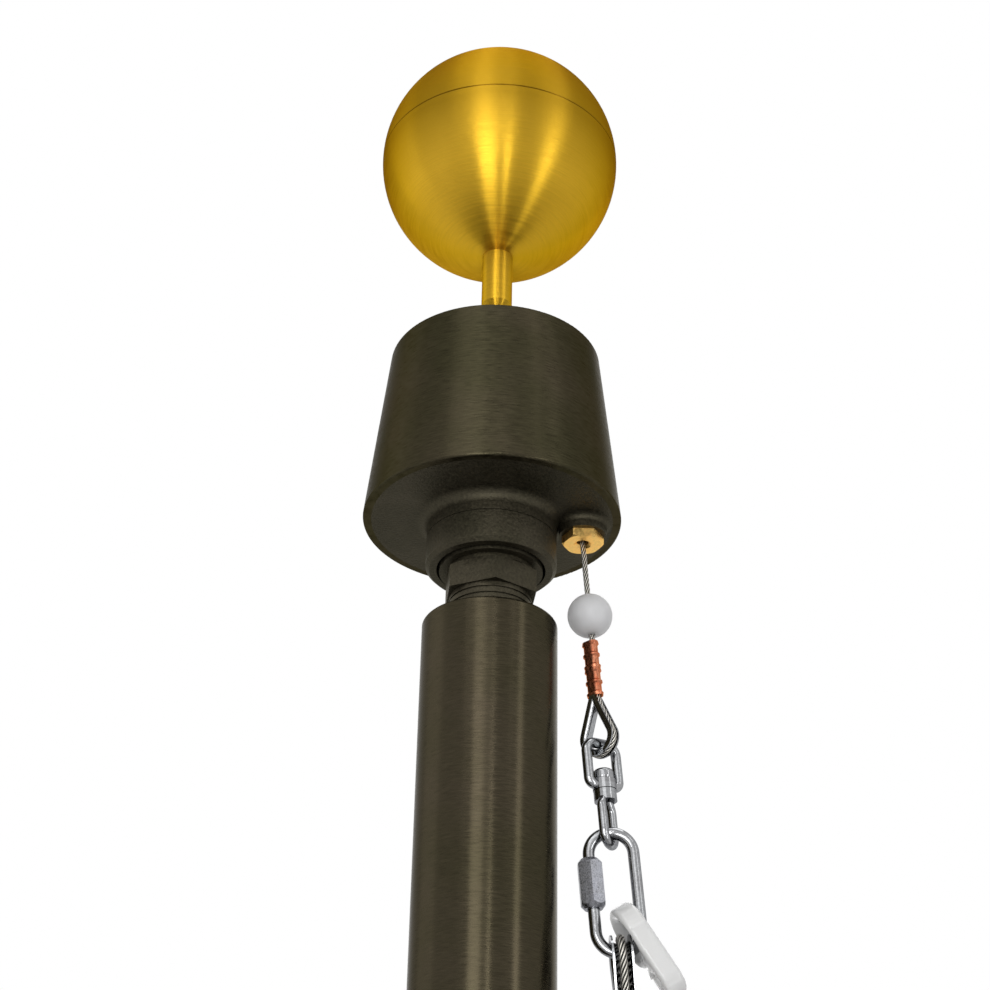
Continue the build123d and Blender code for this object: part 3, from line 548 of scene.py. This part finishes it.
# ---------------------------------------------------------------- nylon snap
# The snap that holds the flag's corner, moulded in one piece of white nylon. It is glossy, with
# faint flow marks and a little grime.
snap_nylon, tree, shader = new_material(
    "snap_nylon", Subsurface_Weight=0.4, Subsurface_Radius=(0.005, 0.005, 0.005), Subsurface_Scale=1.0)
clouds = cloud_nylon(
    tree, shader, scale=60.0, detail=5.0, shade=(0.70, 0.70, 0.70), light=(0.745, 0.745, 0.735))
tree.links.new(spread(tree, clouds, 0.3, 0.7, 0.12, 0.22), shader.inputs["Roughness"])
emboss(tree, shader, clouds, 0.1, 0.0003)
dress(["flag_snap"], snap_nylon)

# ---------------------------------------------------------------- floor
# A plain pale floor under the pole's cut end, which fades out towards its rim and is clear from
# below.
FLOOR_RADIUS = 0.75
FLOOR_SIDES = 96
FLOOR_DROP = 0.0008
FADE_START = 0.45 * FLOOR_RADIUS
FADE_END = 0.98 * FLOOR_RADIUS

floor_mesh = bpy.data.meshes.new("floor")
shape = bmesh.new()
bmesh.ops.create_circle(shape, cap_ends=True, radius=FLOOR_RADIUS, segments=FLOOR_SIDES)
bmesh.ops.translate(shape, verts=shape.verts, vec=(0, 0, -FLOOR_DROP))
shape.to_mesh(floor_mesh)
shape.free()
floor = bpy.data.objects.new("floor", floor_mesh)
bpy.context.collection.objects.link(floor)
pale, tree, shader = new_material(
    "pale_floor", Roughness=0.9, Base_Color=(0.86, 0.86, 0.86, 1), Specular_IOR_Level=0.0)
place = add_node(tree, "ShaderNodeTexCoord")
reach = add_node(tree, "ShaderNodeVectorMath", operation="LENGTH")
tree.links.new(place.outputs["Object"], reach.inputs[0])
rim = spread(tree, reach.outputs["Value"], FADE_START, FADE_END, 1.0, 0.0)
side = add_node(tree, "ShaderNodeNewGeometry")
above = work_out(tree, "SUBTRACT", 1.0, side.outputs["Backfacing"])
tree.links.new(work_out(tree, "MULTIPLY", rim, above), shader.inputs["Alpha"])
floor_mesh.materials.append(pale)

# ---------------------------------------------------------------- air and lamps
# White air that metal mirrors, and soft upright lamps: a broad key in front, a strip on the right,
# faint ones on the left and behind, and a wide one overhead. The low ones reach below the floor and
# light the head from underneath.
AIR_LIGHT = 0.16

world = bpy.data.worlds.new("air")
bpy.context.scene.world = world
world.use_nodes = True
tree = world.node_tree
air = tree.nodes["Background"]
path = add_node(tree, "ShaderNodeLightPath")
seen = work_out(tree, "MAXIMUM", path.outputs["Is Camera Ray"], path.outputs["Is Glossy Ray"])
seen = work_out(tree, "MAXIMUM", seen, path.outputs["Is Transmission Ray"])
air.inputs["Color"].default_value = (1, 1, 1, 1)
tree.links.new(spread(tree, seen, 0.0, 1.0, AIR_LIGHT, 1.0), air.inputs["Strength"])

LAMP_DISTANCE = 1.8


def softbox(name, azimuth, width, foot, head, glow):
    """An upright lamp that faces the pole: azimuth 0 is behind the eye, and positive is to the right."""
    lamp = bpy.data.lights.new(name, "AREA")
    lamp.shape = "RECTANGLE"
    lamp.size = width
    lamp.size_y = head - foot
    lamp.energy = glow * width * (head - foot) * math.pi
    holder = bpy.data.objects.new(name, lamp)
    turn = math.radians(azimuth)
    way = Vector((math.sin(turn), -math.cos(turn), 0))
    holder.location = LAMP_DISTANCE * way + Vector((0, 0, (foot + head) / 2))
    holder.rotation_euler = way.to_track_quat("Z", "Y").to_euler()
    holder.visible_camera = False
    bpy.context.collection.objects.link(holder)


softbox("key_high", azimuth=-27, width=1.0, foot=1.6, head=2.3, glow=1.9)
softbox("key", azimuth=-9, width=1.0, foot=0.85, head=1.6, glow=1.05)
softbox("key_low", azimuth=-13, width=0.56, foot=-0.9, head=0.75, glow=5.2)
softbox("line_low", azimuth=8, width=0.08, foot=-0.9, head=0.75, glow=13.0)
softbox("strip_high", azimuth=42, width=0.3, foot=1.6, head=2.3, glow=1.8)
softbox("strip", azimuth=55, width=0.24, foot=0.85, head=1.6, glow=1.9)
softbox("strip_low", azimuth=50, width=0.25, foot=-0.9, head=0.75, glow=5.0)
softbox("side", azimuth=-100, width=1.1, foot=0.5, head=2.4, glow=0.5)
softbox("rear", azimuth=165, width=2.0, foot=0.3, head=2.2, glow=0.5)

OVERHEAD_WIDTH = 2.2
OVERHEAD_HEIGHT = 3.0
OVERHEAD_GLOW = 2.0
lamp = bpy.data.lights.new("overhead", "AREA")
lamp.size = OVERHEAD_WIDTH
lamp.energy = OVERHEAD_GLOW * OVERHEAD_WIDTH * OVERHEAD_WIDTH * math.pi
overhead = bpy.data.objects.new("overhead", lamp)
overhead.location = (0, 0, OVERHEAD_HEIGHT)
overhead.visible_camera = False
bpy.context.collection.objects.link(overhead)
